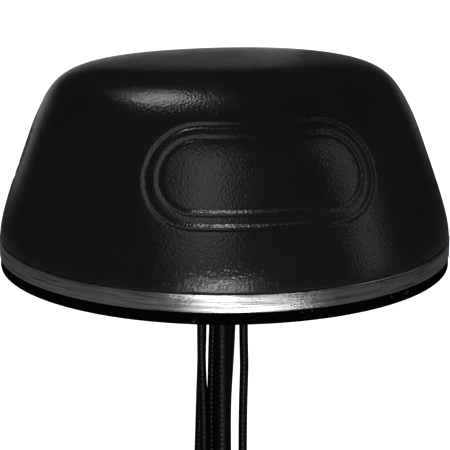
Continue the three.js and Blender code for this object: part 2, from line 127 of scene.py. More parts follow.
def shell_arrays(rings, closed=False):
    """Vertices and faces of a surface given as rings of points (ring, column, xyz). An open
    surface gets one vertex at the middle of each end ring, which closes it."""
    rows, columns = rings.shape[:2]
    vertices = rings.reshape(-1, 3)
    faces = grid_faces(rows, columns, closed).tolist()
    if not closed:
        column = np.arange(columns)
        beside = (column + 1) % columns
        low, high = len(vertices), len(vertices) + 1
        last = (rows - 1) * columns
        ends = [rings[0].mean(axis=0), rings[-1].mean(axis=0)]
        vertices = np.vstack([vertices, ends])
        faces += np.stack([beside, column, np.full(columns, low)], axis=-1).tolist()
        top = np.stack([last + column, last + beside, np.full(columns, high)], axis=-1)
        faces += top.tolist()
    return vertices, faces


def merged(parts):
    """Several closed surfaces as the vertices and faces of one mesh."""
    vertices, faces, start = [], [], 0
    for points, polygons in parts:
        vertices.append(points)
        faces += [[index + start for index in polygon] for polygon in polygons]
        start += len(points)
    return np.vstack(vertices), faces


def turned_rings(profile, columns, shape=None):
    """Rings of a profile of (radius, height) pairs turned about Z: a point at angle a is at
    (r cos a, r sin a, z). A shape function may change the radius from the angle and the height."""
    angle = np.arange(columns) * TURN / columns
    profile = np.asarray(profile, float)
    radius = np.repeat(profile[:, :1], columns, axis=1)
    height = np.repeat(profile[:, 1:], columns, axis=1)
    if shape is not None:
        radius = shape(radius, height, np.broadcast_to(angle, radius.shape))
    return np.stack([radius * np.cos(angle), radius * np.sin(angle), height], axis=-1)


def rounded(profile, radius, steps=3):
    """A closed outline with each corner replaced by a short arc-like bend: points slide along
    the two sides by the radius and a quadratic curve joins them."""
    corner = np.asarray(profile, float)
    before = np.roll(corner, 1, axis=0) - corner
    after = np.roll(corner, -1, axis=0) - corner
    reach_before = np.linalg.norm(before, axis=1, keepdims=True)
    reach_after = np.linalg.norm(after, axis=1, keepdims=True)
    reach = np.minimum(radius, 0.45 * np.minimum(reach_before, reach_after))
    start = corner + before / reach_before * reach
    end = corner + after / reach_after * reach
    t = np.linspace(0, 1, steps + 1)[None, :, None]
    bend = (1 - t) ** 2 * start[:, None] + 2 * t * (1 - t) * corner[:, None] + t**2 * end[:, None]
    return bend.reshape(-1, 2)


def ring_arrays(profile, columns, bend=0.0):
    """A ring whose closed section is the given outline, with its corners rounded."""
    outline = rounded(profile, bend) if bend else np.asarray(profile, float)
    return shell_arrays(turned_rings(outline, columns), closed=True)


def plug_arrays(profile, columns):
    """A solid of revolution whose open outline runs from its lower to its upper end."""
    return shell_arrays(turned_rings(profile, columns))


def moved(arrays, offset):
    """The same surface shifted by an offset."""
    vertices, faces = arrays
    return vertices + np.asarray(offset, float), faces


def radius_of(node):
    """Half the width of a round node's box."""
    low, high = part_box(node)
    return (high[0] - low[0]) / 2


def middle_of(node):
    """Middle of a node's box, seen from above."""
    low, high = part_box(node)
    return (low[0] + high[0]) / 2, (low[1] + high[1]) / 2


def smooth(value):
    """0 below 0, 1 above 1 and v v (3 - 2 v) between."""
    value = np.clip(value, 0, 1)
    return value * value * (3 - 2 * value)


def six_sided(across_flats, angle):
    """Distance from the axis to a hexagon's side at an angle."""
    sector = (angle + TURN / 12) % (TURN / 6) - TURN / 12
    return across_flats / 2 / np.cos(sector)


def zigzag(height, angle, pitch):
    """A ridge that winds once for each pitch: 1 at its crest, 0 in its root."""
    turn = (height / pitch - angle / TURN) % 1
    return np.abs(2 * turn - 1)


def finish_piece(piece, body, slot, material, *nodes):
    """Gives the piece its material, hides the nodes it stands for and rides the piece on its body.
    The slot is not used.
    """
    piece.data.materials.append(material)
    if nodes:
        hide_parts(*nodes)
    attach(piece, body)


# ---------------------------------------------------------------- material helpers
def map_range(nodes, low, high, to_low, to_high):
    """A node that carries the low to high stretch of its value to another range."""
    node = nodes.new("ShaderNodeMapRange")
    numbers = {"From Min": low, "From Max": high, "To Min": to_low, "To Max": to_high}
    for socket, number in numbers.items():
        node.inputs[socket].default_value = number
    return node


class Finish:
    """A Principled material and short calls for the nodes that feed it."""

    def __init__(self, name, roughness=0.5, metallic=0.0, **constants):
        self.material = bpy.data.materials.new(name)
        self.material.use_nodes = True
        self.nodes = self.material.node_tree.nodes
        self.links = self.material.node_tree.links
        self.shader = self.nodes["Principled BSDF"]
        self.shader.inputs["Roughness"].default_value = roughness
        self.shader.inputs["Metallic"].default_value = metallic
        for socket, value in constants.items():
            self.shader.inputs[socket.replace("_", " ")].default_value = value
        self.coordinates = self.nodes.new("ShaderNodeTexCoord").outputs["Object"]

    def stretched(self, scale):
        """Object coordinates scaled along each axis."""
        mapping = self.nodes.new("ShaderNodeMapping")
        mapping.inputs["Scale"].default_value = scale
        self.links.new(self.coordinates, mapping.inputs["Vector"])
        return mapping.outputs["Vector"]

    def noise(self, scale, detail=3.0, stretch=None, roughness=0.55):
        """Cloudy values, drawn out along an axis by a small stretch number."""
        node = self.nodes.new("ShaderNodeTexNoise")
        node.inputs["Scale"].default_value = scale
        node.inputs["Detail"].default_value = detail
        node.inputs["Roughness"].default_value = roughness
        vector = self.stretched(stretch) if stretch else self.coordinates
        self.links.new(vector, node.inputs["Vector"])
        return node.outputs["Fac"]

    def cells(self, scale, feature="F1", distance="EUCLIDEAN"):
        """Distance to the nearest of scattered points, so many to the metre."""
        node = self.nodes.new("ShaderNodeTexVoronoi")
        node.feature = feature
        node.distance = distance
        node.inputs["Scale"].default_value = scale
        self.links.new(self.coordinates, node.inputs["Vector"])
        return node.outputs["Distance"]

    def ribs(self, pitch):
        """Uneven waves along Z at this pitch."""
        node = self.nodes.new("ShaderNodeTexWave")
        node.bands_direction = "Z"
        node.inputs["Scale"].default_value = TURN / (20 * pitch)
        node.inputs["Distortion"].default_value = 2.2
        node.inputs["Detail"].default_value = 1.0
        node.inputs["Detail Scale"].default_value = 0.7
        self.links.new(self.coordinates, node.inputs["Vector"])
        return node.outputs["Fac"]

    def ranged(self, value, low, high, to_low, to_high):
        """The value with its low to high stretch carried to another range."""
        node = map_range(self.nodes, low, high, to_low, to_high)
        self.links.new(value, node.inputs["Value"])
        return node.outputs["Result"]

    def colours(self, value, stops):
        """A ramp of (place, colour) stops."""
        node = self.nodes.new("ShaderNodeValToRGB")
        ramp = node.color_ramp
        while len(ramp.elements) < len(stops):
            ramp.elements.new(0.5)
        for element, (place, colour) in zip(ramp.elements, stops):
            element.position = place
            element.color = (*colour, 1)
        self.links.new(value, node.inputs["Fac"])
        return node.outputs["Color"]

    def base(self, colour):
        """Feeds the base colour."""
        self.links.new(colour, self.shader.inputs["Base Color"])

    def rough(self, value):
        """Feeds the roughness."""
        self.links.new(value, self.shader.inputs["Roughness"])

    def bump(self, height, strength, distance):
        """Adds relief on top of any given before."""
        node = self.nodes.new("ShaderNodeBump")
        node.inputs["Strength"].default_value = strength
        node.inputs["Distance"].default_value = distance
        self.links.new(height, node.inputs["Height"])
        previous = self.shader.inputs["Normal"]
        if previous.is_linked:
            self.links.new(previous.links[0].from_socket, node.inputs["Normal"])
        self.links.new(node.outputs["Normal"], previous)


def grained_plastic():
    """Black moulded plastic with a fine leather-like grain of raised cells."""
    f = Finish("grained_plastic", roughness=0.2)
    tone = f.noise(38, 4)
    f.base(f.colours(tone, [(0.3, (0.0072, 0.0072, 0.0074)), (0.75, (0.0094, 0.0094, 0.0096))]))
    f.rough(f.ranged(f.noise(160, 5), 0.3, 0.7, 0.16, 0.22))
    f.bump(f.cells(1700, "SMOOTH_F1"), 0.9, 0.07 * MM)
    f.bump(f.noise(2800, 1), 0.8, 0.045 * MM)
    return f.material


def turned_metal():
    """Satin turned aluminium: fine rings round the axis, with darker rubbed lines and nicks."""
    f = Finish("turned_metal", metallic=1.0)
    rings = f.noise(1, 4, (14, 14, 3000), 0.7)
    rubbed = f.noise(1, 3, (60, 60, 1500), 0.6)
    stops = [(0.36, (0.24, 0.24, 0.25)), (0.5, (0.56, 0.56, 0.57)), (0.7, (0.74, 0.74, 0.75))]
    f.base(f.colours(rubbed, stops))
    f.rough(f.ranged(f.noise(70, 4), 0.3, 0.7, 0.2, 0.36))
    f.bump(rings, 0.8, 0.05 * MM)
    f.bump(f.noise(1, 3, (260, 260, 900)), 0.35, 0.04 * MM)
    return f.material


def closed_cell_foam():
    """Black foam with open-cut cells and a few pale specks."""
    f = Finish("closed_cell_foam", roughness=0.95, Specular_IOR_Level=0.03)
    specks = f.noise(700, 2)
    f.base(f.colours(specks, [(0.68, (0.0008, 0.0008, 0.0008)), (0.8, (0.09, 0.09, 0.09))]))
    f.bump(f.cells(1900), 0.7, 0.12 * MM)
    return f.material


def moulded_rubber():
    """Matt black rubber with a faint unevenness."""
    f = Finish("moulded_rubber", roughness=0.7)
    f.base(f.colours(f.noise(220, 3), [(0.3, (0.005, 0.005, 0.005)), (0.8, (0.011, 0.011, 0.011))]))
    f.bump(f.noise(1500, 3), 0.25, 0.03 * MM)
    return f.material


def cable_jacket():
    """Black jacket whose braid shows through as uneven ribs about 1.6 mm apart."""
    f = Finish("cable_jacket", roughness=0.36, Specular_IOR_Level=0.2)
    drawn = f.noise(1, 3, (1500, 1500, 90))
    f.base(f.colours(drawn, [(0.3, (0.0009, 0.0009, 0.001)), (0.8, (0.0026, 0.0026, 0.0028))]))
    f.rough(f.ranged(f.noise(480, 3), 0.3, 0.7, 0.3, 0.46))
    f.bump(f.ribs(1.6 * MM), 0.8, 0.12 * MM)
    f.bump(f.noise(520, 2), 0.35, 0.05 * MM)
    return f.material


def shrunk_sleeve():
    """Black shrunk tubing with soft ripples round it."""
    f = Finish("shrunk_sleeve", roughness=0.5)
    ripple = f.noise(1, 3, (240, 240, 700))
    f.base(f.colours(ripple, [(0.3, (0.006, 0.006, 0.006)), (0.8, (0.012, 0.012, 0.012))]))
    f.bump(ripple, 0.3, 0.06 * MM)
    return f.material


def plated_metal(name, dark, light, low, high):
    """Plated metal with faint lines round its axis and uneven roughness."""
    f = Finish(name, metallic=1.0)
    lines = f.noise(1, 3, (60, 60, 2400))
    f.base(f.colours(lines, [(0.25, dark), (0.75, light)]))
    f.rough(f.ranged(f.noise(900, 3), 0.3, 0.7, low, high))
    f.bump(lines, 0.06, 0.01 * MM)
    return f.material


def board_laminate():
    """Green solder resist over glass weave, with small square pads of paler copper under it."""
    f = Finish("board_laminate", roughness=0.38)
    pads = f.cells(420, distance="CHEBYCHEV")
    stops = [(0.12, (0.05, 0.2, 0.08)), (0.15, (0.006, 0.05, 0.018)), (0.9, (0.012, 0.075, 0.028))]
    f.base(f.colours(pads, stops))
    f.bump(f.noise(900, 2), 0.2, 0.04 * MM)
    return f.material


def fired_ceramic():
    """Sandy ceramic with a fine speckle."""
    f = Finish("fired_ceramic", roughness=0.55)
    f.base(f.colours(f.noise(900, 4), [(0.3, (0.5, 0.4, 0.26)), (0.7, (0.68, 0.56, 0.38))]))
    f.bump(f.noise(1400, 3), 0.3, 0.03 * MM)
    return f.material


def white_insulator():
    """Waxy white insulator."""
    f = Finish("white_insulator", roughness=0.4)
    f.base(f.colours(f.noise(700, 2), [(0.3, (0.72, 0.72, 0.7)), (0.7, (0.82, 0.82, 0.8))]))
    return f.material


PLASTIC = grained_plastic()
TURNED = turned_metal()
FOAM = closed_cell_foam()
RUBBER = moulded_rubber()
JACKET = cable_jacket()
SLEEVE = shrunk_sleeve()
ZINC = plated_metal("zinc_plate", (0.42, 0.41, 0.36), (0.6, 0.58, 0.5), 0.36, 0.44)
STEEL = plated_metal("bright_steel", (0.45, 0.46, 0.48), (0.6, 0.61, 0.62), 0.22, 0.38)
NICKEL = plated_metal("nickel_plate", (0.5, 0.48, 0.44), (0.64, 0.61, 0.56), 0.46, 0.54)
GOLD = plated_metal("gold_plate", (0.62, 0.4, 0.12), (0.8, 0.56, 0.2), 0.18, 0.3)
TIN = plated_metal("tinned_sheet", (0.5, 0.52, 0.54), (0.66, 0.68, 0.7), 0.3, 0.45)
COPPER = plated_metal("copper_foil", (0.52, 0.26, 0.16), (0.7, 0.38, 0.25), 0.3, 0.45)
BOARD = board_laminate()
CERAMIC = fired_ceramic()
INSULATOR = white_insulator()


# ---------------------------------------------------------------- leads
# Each lead's route: its level and its place across at that level, and its lower end.
LEVELS = np.array([12, -17, -25, -36, -47, -66, -110, -160, -205, -235]) * MM
THICK = 5 * MM
THIN = 2.8 * MM
LEADS = {
    "mobile_1": (THICK, -262, [
        (-0.8, -2.6), (-0.8, -2.6), (-0.8, -2.7), (-0.8, -2.8), (-0.8, -3.0),
        (-0.7, -3.5), (0.2, -6.1), (1.3, -9.4), (2.1, -12.1), (2.3, -12.8),
    ]),
    "mobile_2": (THICK, -258, [
        (1.2, 3.6), (1.2, 3.6), (0.95, 3.6), (0.4, 3.6), (-0.2, 3.6),
        (-0.3, 3.7), (1.8, 4.7), (5.6, 6.3), (9.0, 8.0), (10.0, 8.4),
    ]),
    "wifi_1": (THIN, -265, [
        (-7.2, -1.4), (-7.2, -1.4), (-7.2, -1.5), (-7.1, -1.6), (-6.6, -1.8),
        (-6.5, -2.4), (-7.7, -4.2), (-9.3, -5.9), (-10.4, -7.2), (-10.7, -7.5),
    ]),
    "wifi_2": (THIN, -260, [
        (-6.9, 2.6), (-6.9, 2.6), (-7.0, 2.6), (-7.3, 2.6), (-7.7, 2.7),
        (-8.3, 3.0), (-9.9, 3.8), (-11.3, 4.3), (-12.0, 4.4), (-12.2, 4.4),
    ]),
    "wifi_3": (THIN, -256, [
        (5.9, -0.3), (5.9, -0.3), (5.95, -0.3), (6.15, -0.4), (5.9, -0.5),
        (5.8, -0.9), (8.0, -2.3), (10.6, -3.6), (11.9, -4.3), (12.2, -4.4),
    ]),
    "gnss": (THIN, -263, [
        (-3.3, 1.6), (-3.3, 1.6), (-3.6, 1.6), (-3.9, 1.7), (-4.1, 1.9),
        (-4.1, 2.6), (-3.8, 5.9), (-3.0, 9.8), (-2.4, 12.4), (-2.3, 12.8),
    ]),
}
LEAD_RINGS = 150
CENTRELINE_POINTS = 40
LEAD_SIDES = 24
COLLAR_SPREAD = 0.95 * MM
COLLAR_HEIGHT = 1.15 * MM
SLEEVE_LENGTH = 14 * MM
SLEEVE_WALL = 0.7 * MM
SLEEVE_SWELL = 1.6 * MM  # its wall over the connector's ferrule
SLEEVE_NECK = 6.2 * MM  # where the swelling ends
SLEEVE_COLUMNS = 40
COUPLING_FLATS = 8 * MM
COUPLING_TOP = -9.2 * MM
COUPLING_BOTTOM = -16.8 * MM
COUPLING_BORE = 3.2 * MM
COUPLING_LIP_BORE = 2.6 * MM
COUPLING_LIP = 1 * MM
COUPLING_PITCH = 0.7 * MM
COUPLING_THREAD = 0.25 * MM
GROMMET_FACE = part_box("cable_grommet")[0][2]


def lead_path(across, end, count):
    """Points down the lead: each coordinate across is a cubic Hermite curve of the height
    through the route's points, whose slope at a point is that between its neighbours."""
    points = np.array(across + [across[-1]]) * MM
    height = np.append(LEVELS, end * MM)
    slope = np.gradient(points, height, axis=0)
    slope[0] = 0
    slope[-2:] = 0
    wanted = np.linspace(height[0], height[-1], count)
    upper = np.clip(np.searchsorted(-height, -wanted) - 1, 0, len(height) - 2)
    span = (height[upper + 1] - height[upper])[:, None]
    t = (wanted[:, None] - height[upper][:, None]) / span
    place = (
        (2 * t**3 - 3 * t**2 + 1) * points[upper]
        + (t**3 - 2 * t**2 + t) * span * slope[upper]
        + (3 * t**2 - 2 * t**3) * points[upper + 1]
        + (t**3 - t**2) * span * slope[upper + 1]
    )
    return np.column_stack([place, wanted])


def tube_rings(path, radius, sides):
    """Level rings round each point of a path that runs almost straight down."""
    angle = np.arange(sides) * TURN / sides
    circle = np.stack([np.cos(angle), np.sin(angle), np.zeros(sides)], axis=-1) * radius
    return path[::-1, None, :] + circle[None, :, :]


def connector_profile(radius):
    """Outline of a connector body under a lead's end: nose, stepped shoulder, crimped ferrule."""
    ferrule = radius + 0.9 * MM
    shoulder = 3.4 * MM
    nose = 2.3 * MM
    steps = [
        (0.9 * MM, -12.9), (nose - 0.15 * MM, -12.9), (nose, -12.75), (nose, -8.9),
        (shoulder - 0.2 * MM, -8.9), (shoulder, -8.7), (shoulder, -7.5),
        (shoulder - 0.2 * MM, -7.3), (ferrule, -7.3), (ferrule, -6.4), (ferrule - 0.25 * MM, -6.2),
        (ferrule - 0.25 * MM, -5.0), (ferrule, -4.8), (ferrule, -0.5), (ferrule - 0.2 * MM, -0.3),
        (radius * 0.5, -0.3),
    ]
    return [(r, z * MM) for r, z in steps]


def hexagonal(flats, chamfer_low, chamfer_high, slope=0.45):
    """A shape function: the outer skin is a hexagon of that width across its flats, whose
    corners are cut back by cones at its two ends; radii under half the flats stay round."""

    def shape(radius, height, angle):
        room = np.minimum(height - chamfer_low, chamfer_high - height)
        cone = flats / 2 * 0.985 + np.maximum(room, 0) / slope
        outside = np.minimum(six_sided(flats, angle), cone)
        return np.where(radius >= flats / 2 * 0.98, outside, radius)

    return shape


def threaded_bore(bore, depth, pitch):
    """A shape function for the wall of a bore: a ridge that winds once for each pitch."""

    def shape(radius, height, angle):
        wall = bore - depth * zigzag(height, angle, pitch)
        return np.where(np.abs(radius - bore) < SAME, wall, radius)

    return shape


def both(first, second):
    """A shape function that applies two in turn."""

    def shape(radius, height, angle):
        return second(first(radius, height, angle), height, angle)

    return shape


def coupling_nut_arrays():
    """Coupling nut of a lead that ends at level 0: a hexagon with coned ends, an inner lip and
    a threaded bore that opens downwards."""
    lip_bottom = COUPLING_TOP - COUPLING_LIP
    profile = [
        (COUPLING_BORE + 0.2 * MM, COUPLING_BOTTOM),
        *[(COUPLING_FLATS / 2, z) for z in np.linspace(COUPLING_BOTTOM, COUPLING_TOP, 24)],
        (COUPLING_LIP_BORE, COUPLING_TOP),
        (COUPLING_LIP_BORE, lip_bottom),
        *[(COUPLING_BORE, z) for z in np.linspace(lip_bottom, COUPLING_BOTTOM, 40)],
    ]
    shape = both(
        hexagonal(COUPLING_FLATS, COUPLING_BOTTOM, COUPLING_TOP),
        threaded_bore(COUPLING_BORE, COUPLING_THREAD, COUPLING_PITCH),
    )
    return shell_arrays(turned_rings(profile, 120, shape), closed=True)


def collar_arrays(radius):
    """Raised collar that the grommet has round a lead, below its face."""
    inner = radius + 0.02 * MM
    section = [
        (inner, -COLLAR_HEIGHT), (radius + 0.45 * MM, -COLLAR_HEIGHT),
        (radius + COLLAR_SPREAD, -0.02 * MM), (inner, -0.02 * MM),
    ]
    return ring_arrays(section, 36, 0.2 * MM)


def sleeve_arrays(radius):
    """Shrunk sleeve above level 0: its wall swells over the ferrule by a logistic step of the
    height, with a ripple that is a sine under a longer sine."""
    inner = radius + 0.04 * MM
    heights = np.linspace(0, SLEEVE_LENGTH, SLEEVE_COLUMNS)
    share = 1 / (1 + np.exp((heights - SLEEVE_NECK) / (0.9 * MM)))
    fade = np.sin(heights / SLEEVE_LENGTH * math.pi)
    ripple = 0.05 * MM * np.sin(heights / (0.55 * MM)) * fade
    outside = inner + SLEEVE_WALL + (SLEEVE_SWELL - SLEEVE_WALL) * share + ripple
    section = [(inner, 0), *zip(outside, heights), (inner, SLEEVE_LENGTH)]
    return ring_arrays(section, SLEEVE_COLUMNS)


INSULATOR_SECTION = [(0.5, -13.1), (1.9, -13.1), (2.0, -12.95), (2.0, -12.4), (0.5, -12.4)]
PIN_OUTLINE = [(0.1, -15.1), (0.3, -14.95), (0.45, -14.5), (0.45, -12.4)]


def make_lead(name, diameter, end, across):
    """One lead with its grommet collar, sleeve, connector body, insulator, pin and nut."""
    path = lead_path(across, end, LEAD_RINGS)
    radius = diameter / 2
    end_point = (*path[-1][:2], end * MM)
    exit_point = (across[0][0] * MM, across[0][1] * MM, GROMMET_FACE)

    def part(ending, arrays, body, slot, material, *nodes, at=end_point, sharp=SHARP):
        piece = piece_from(f"{name}_{ending}", *moved(arrays, at), sharp=sharp)
        finish_piece(piece, body, slot, material, *nodes)
        return piece

    lead = piece_from(f"{name}_cable", *shell_arrays(tube_rings(path, radius, LEAD_SIDES)))
    finish_piece(lead, "root", "cable_jacket", JACKET, f"{name}_lead")
    part("collar", collar_arrays(radius), "root", "seal_rubber", RUBBER, at=exit_point)
    insulator_section = np.array(INSULATOR_SECTION) * MM
    pin_outline = np.array(PIN_OUTLINE) * MM
    body_outline = connector_profile(radius)
    fittings = [
        part(
            "shrunk_sleeve", sleeve_arrays(radius), "root", "heat_shrink", SLEEVE,
            f"{name}_sleeve",
        ),
        part(
            "connector_body", plug_arrays(body_outline, 48), "root", "gold_plate", GOLD,
            f"{name}_connector",
        ),
        part("insulator", ring_arrays(insulator_section, 40), "root", "ceramic", INSULATOR),
        part("contact_pin", plug_arrays(pin_outline, 20), "root", "gold_plate", GOLD),
        part(
            "hex_nut", coupling_nut_arrays(), f"{name}_nut", "nickel_plate", NICKEL,
            f"{name}_coupling_nut", sharp=math.radians(25),
        ),
    ]
    lead_path(across, end, CENTRELINE_POINTS)


for lead_name, (lead_diameter, lead_end, lead_across) in LEADS.items():
    make_lead(lead_name, lead_diameter, lead_end, lead_across)


# ---------------------------------------------------------------- radome
FOOT_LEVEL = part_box("radome")[0][2]
CROWN_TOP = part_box("radome")[1][2]
FOOT_RADIUS = radius_of("radome")
WALL = 2.8 * MM
FOOT_RISE = 6.6 * MM
SHOULDER_SETBACK = 11.7 * MM
SHOULDER_DROP = 17.4 * MM
SHOULDER_LEAD_IN = 2 * MM
SHOULDER_DRAFT = math.radians(30)
CROWN_SETBACK = 27.5 * MM
OVAL_SHARE = 0.134
OVAL_POWER = 6
OVAL_TURN = math.radians(18)
DOME_COLUMNS = 600
LINE_STEPS = 1200
CURVE_POINTS = 400
BEND_SPREAD = 3 * MM
BADGE_COUNT = 3
BADGE_TURN = math.radians(-90 + 11)
BADGE_HALF_LENGTH = 33 * MM
BADGE_HALF_HEIGHT = 14 * MM
BADGE_PLACE = 31 * MM  # up the wall from the foot
BADGE_MEAN_RADIUS = 59 * MM
GROOVE_WIDTH = 1 * MM
GROOVE_DEPTH = 0.42 * MM
INNER_GROOVE_DEPTH = 0.3 * MM
FRAME_WIDTH = 3.8 * MM
FIELD_DEPTH = 0.15 * MM
SCREW_COUNT = 4
SCREW_SETBACK = 12.8 * MM
PILLAR_BORE = 1.6 * MM
PILLAR_RADIUS = 4 * MM
PILLAR_TOP = 34 * MM


def cubic(a, b, c, d):
    """Points of a cubic Bezier curve: (1-t)^3 a + 3(1-t)^2 t b + 3(1-t) t^2 c + t^3 d."""
    t = np.linspace(0, 1, CURVE_POINTS)[:, None]
    a, b, c, d = (np.asarray(p, float) for p in (a, b, c, d))
    return (1 - t) ** 3 * a + 3 * (1 - t) ** 2 * t * b + 3 * (1 - t) * t**2 * c + t**3 * d


def dome_line():
    """Half-section of the dome's outer skin at even steps of its length: place, outward normal
    and length run from the foot. The wall's curve and the crown's are joined, the direction
    along them is averaged over a few millimetres, and the line is laid out again from it."""
    along = np.array([-math.sin(SHOULDER_DRAFT), math.cos(SHOULDER_DRAFT)])
    foot = np.array([FOOT_RADIUS, FOOT_LEVEL])
    shoulder = np.array([FOOT_RADIUS - SHOULDER_SETBACK, CROWN_TOP - SHOULDER_DROP])
    wall = cubic(foot, foot + (0, FOOT_RISE), shoulder - along * SHOULDER_LEAD_IN, shoulder)
    corner = shoulder + along * SHOULDER_DROP / math.cos(SHOULDER_DRAFT)
    crown = cubic(shoulder, corner, (FOOT_RADIUS - CROWN_SETBACK, CROWN_TOP), (0, CROWN_TOP))
    line = np.vstack([wall, crown[1:]])
    run = np.append(0, np.cumsum(np.linalg.norm(np.diff(line, axis=0), axis=1)))
    even = np.linspace(0, run[-1], LINE_STEPS)
    line = np.column_stack([np.interp(even, run, line[:, 0]), np.interp(even, run, line[:, 1])])
    step = even[1]
    slope = np.gradient(line, step, axis=0)
    reach = int(3 * BEND_SPREAD / step)
    weight = np.exp(-0.5 * (np.arange(-reach, reach + 1) * step / BEND_SPREAD) ** 2)
    weight /= weight.sum()
    padded = np.pad(np.unwrap(np.arctan2(slope[:, 1], slope[:, 0])), reach, mode="edge")
    direction = np.convolve(padded, weight, mode="valid")
    heading = np.column_stack([np.cos(direction), np.sin(direction)])
    laid = line[0] + np.vstack([[0, 0], np.cumsum((heading[1:] + heading[:-1]) / 2 * step, axis=0)])
    laid += (line[-1] - laid[-1]) * (even / even[-1])[:, None]
    return laid, np.column_stack([heading[:, 1], -heading[:, 0]]), even


def dome_profile(depth, run):
    """The dome's half-section a depth inside its outer skin, at these lengths from the foot."""
    line, outward, even = dome_line()

    def at_run(values):
        return np.column_stack([np.interp(run, even, values[:, i]) for i in (0, 1)])

    return at_run(line) - depth * at_run(outward), at_run(outward), run


def row_places():
    """Lengths up the dome at which its rows lie: close together across the label fields."""
    total = dome_line()[2][-1]
    low = BADGE_PLACE - BADGE_HALF_HEIGHT - 3 * MM
    high = BADGE_PLACE + BADGE_HALF_HEIGHT + 3 * MM
    below = np.linspace(0, low, 16, endpoint=False)
    across = np.linspace(low, high, 84, endpoint=False)
    return np.concatenate([below, across, np.linspace(high, total, 40, endpoint=False)])


def badge_relief(angle, run):
    """Depth of the blank label recesses: a round-ended field set back a little, inside a soft
    groove. The distance is that to a stadium outline laid on the wall."""
    turn = (angle - BADGE_TURN + math.pi / BADGE_COUNT) % (TURN / BADGE_COUNT)
    across = np.abs((turn - math.pi / BADGE_COUNT) * BADGE_MEAN_RADIUS)
    up = np.abs(run - BADGE_PLACE)
    past = np.maximum(across - (BADGE_HALF_LENGTH - BADGE_HALF_HEIGHT), 0)
    distance = np.hypot(past, up) - BADGE_HALF_HEIGHT
    groove = GROOVE_DEPTH * smooth(1.5 - 1.5 * np.abs(distance) / GROOVE_WIDTH)
    inner = INNER_GROOVE_DEPTH * smooth(1.5 - 1.5 * np.abs(distance + FRAME_WIDTH) / GROOVE_WIDTH)
    field = FIELD_DEPTH * smooth(-distance / GROOVE_WIDTH)
    return groove + inner + field


def dome_rings(profile, outward, run, relief):
    """Rings of the dome: the profile turned about Z, its upper part stretched into an oval,
    and its skin set back along the profile's normal by the relief."""
    angle = np.arange(DOME_COLUMNS) * TURN / DOME_COLUMNS
    depth = relief(angle[None, :], run[:, None]) if relief else np.zeros((len(run), 1))
    radius = profile[:, :1] - depth * outward[:, :1]
    height = profile[:, 1:] - depth * outward[:, 1:]
    rise = np.clip((height - FOOT_LEVEL) / (CROWN_TOP - FOOT_LEVEL), 0, 1)
    spread = 1 + OVAL_SHARE * rise**OVAL_POWER * np.cos(2 * (angle[None, :] - OVAL_TURN))
    radius = radius * spread
    height = np.broadcast_to(height, radius.shape)
    return np.stack([radius * np.cos(angle), radius * np.sin(angle), height], axis=-1)


def tube_section(bore, outer, low, high):
    """Closed section of a plain tube between two levels."""
    return [(bore, low), (outer, low), (outer, high), (bore, high)]


def spaced_round(count, circle, first):
    """Points evenly spaced round a circle about Z, from the first angle on."""
    angles = [first + i * TURN / count for i in range(count)]
    return [(circle * math.cos(a), circle * math.sin(a), 0) for a in angles]


def make_radome():
    """The shell's outer and inner skins, joined at the foot, and the pillars for its screws."""
    outer = dome_rings(*dome_profile(0, row_places()), badge_relief)
    inner = dome_rings(*dome_profile(WALL, row_places()[::12]), None)
    parts = [shell_arrays(np.concatenate([inner[::-1], outer]))]
    pillar = tube_section(PILLAR_BORE, PILLAR_RADIUS, FOOT_LEVEL, PILLAR_TOP)
    for place in spaced_round(SCREW_COUNT, FOOT_RADIUS - SCREW_SETBACK, TURN / 8):
        parts.append(moved(ring_arrays(pillar, 32, 0.3 * MM), place))
    radome = piece_from("radome_shell", *merged(parts), sharp=math.radians(50))
    finish_piece(radome, "root", "moulded_radome", PLASTIC, "radome")


make_radome()


# ---------------------------------------------------------------- base
FINE_COLUMNS = 360
PLATE_FLOOR = 3 * MM
RIM_WIDTH = 7 * MM
RIM_CHAMFER = 0.2 * MM
STUD_HOLE = 12.8 * MM
SCREW_HOLE = 1.8 * MM
BOSS_SETBACK = 13 * MM
BOSS_RADIUS = 5.5 * MM
POST_SETBACK = 24.5 * MM
POST_RADIUS = 3.5 * MM
SEAL_WIDTH = 3.4 * MM
GASKET_BORE = 16 * MM
WASHER_BORE = 12.8 * MM


def make_base_plate():
    """Turned plate with a raised rim, four screw bosses and four board posts."""
    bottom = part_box("base_plate")[0][2]
    rim_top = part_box("radome_seal")[0][2] - 0.05 * MM
    post_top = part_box("base_plate")[1][2]
    outer = radius_of("base_plate")
    floor = bottom + PLATE_FLOOR
    section = [
        (STUD_HOLE, bottom),
        (outer - RIM_CHAMFER, bottom),
        (outer, bottom + RIM_CHAMFER),
        (outer, rim_top - RIM_CHAMFER),
        (outer - RIM_CHAMFER, rim_top),
        (outer - RIM_WIDTH, rim_top),
        (outer - RIM_WIDTH, floor),
        (STUD_HOLE, floor),
    ]
    parts = [ring_arrays(section, FINE_COLUMNS, 0.08 * MM)]
    boss = tube_section(SCREW_HOLE, BOSS_RADIUS, floor, rim_top)
    post = tube_section(SCREW_HOLE, POST_RADIUS, floor, post_top)
    bosses = spaced_round(SCREW_COUNT, outer - BOSS_SETBACK, TURN / 8)
    posts = spaced_round(SCREW_COUNT, outer - POST_SETBACK, 0)
    for boss_place, post_place in zip(bosses, posts):
        parts.append(moved(ring_arrays(boss, 36, 0.3 * MM), boss_place))
        parts.append(moved(ring_arrays(post, 36, 0.3 * MM), post_place))
    plate = piece_from("base_plate_turned", *merged(parts))
    finish_piece(plate, "root", "turned_metal", TURNED, "base_plate")


make_base_plate()


def make_flat_ring(name, node, inner, bend, columns, slot, material, body="root"):
    """A plain ring with softly rounded edges that fills its node's box."""
    low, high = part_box(node)
    outer = radius_of(node)
    section = tube_section(inner, outer, low[2], high[2])
    ring = piece_from(name, *ring_arrays(section, columns, bend))
    finish_piece(ring, body, slot, material, node)


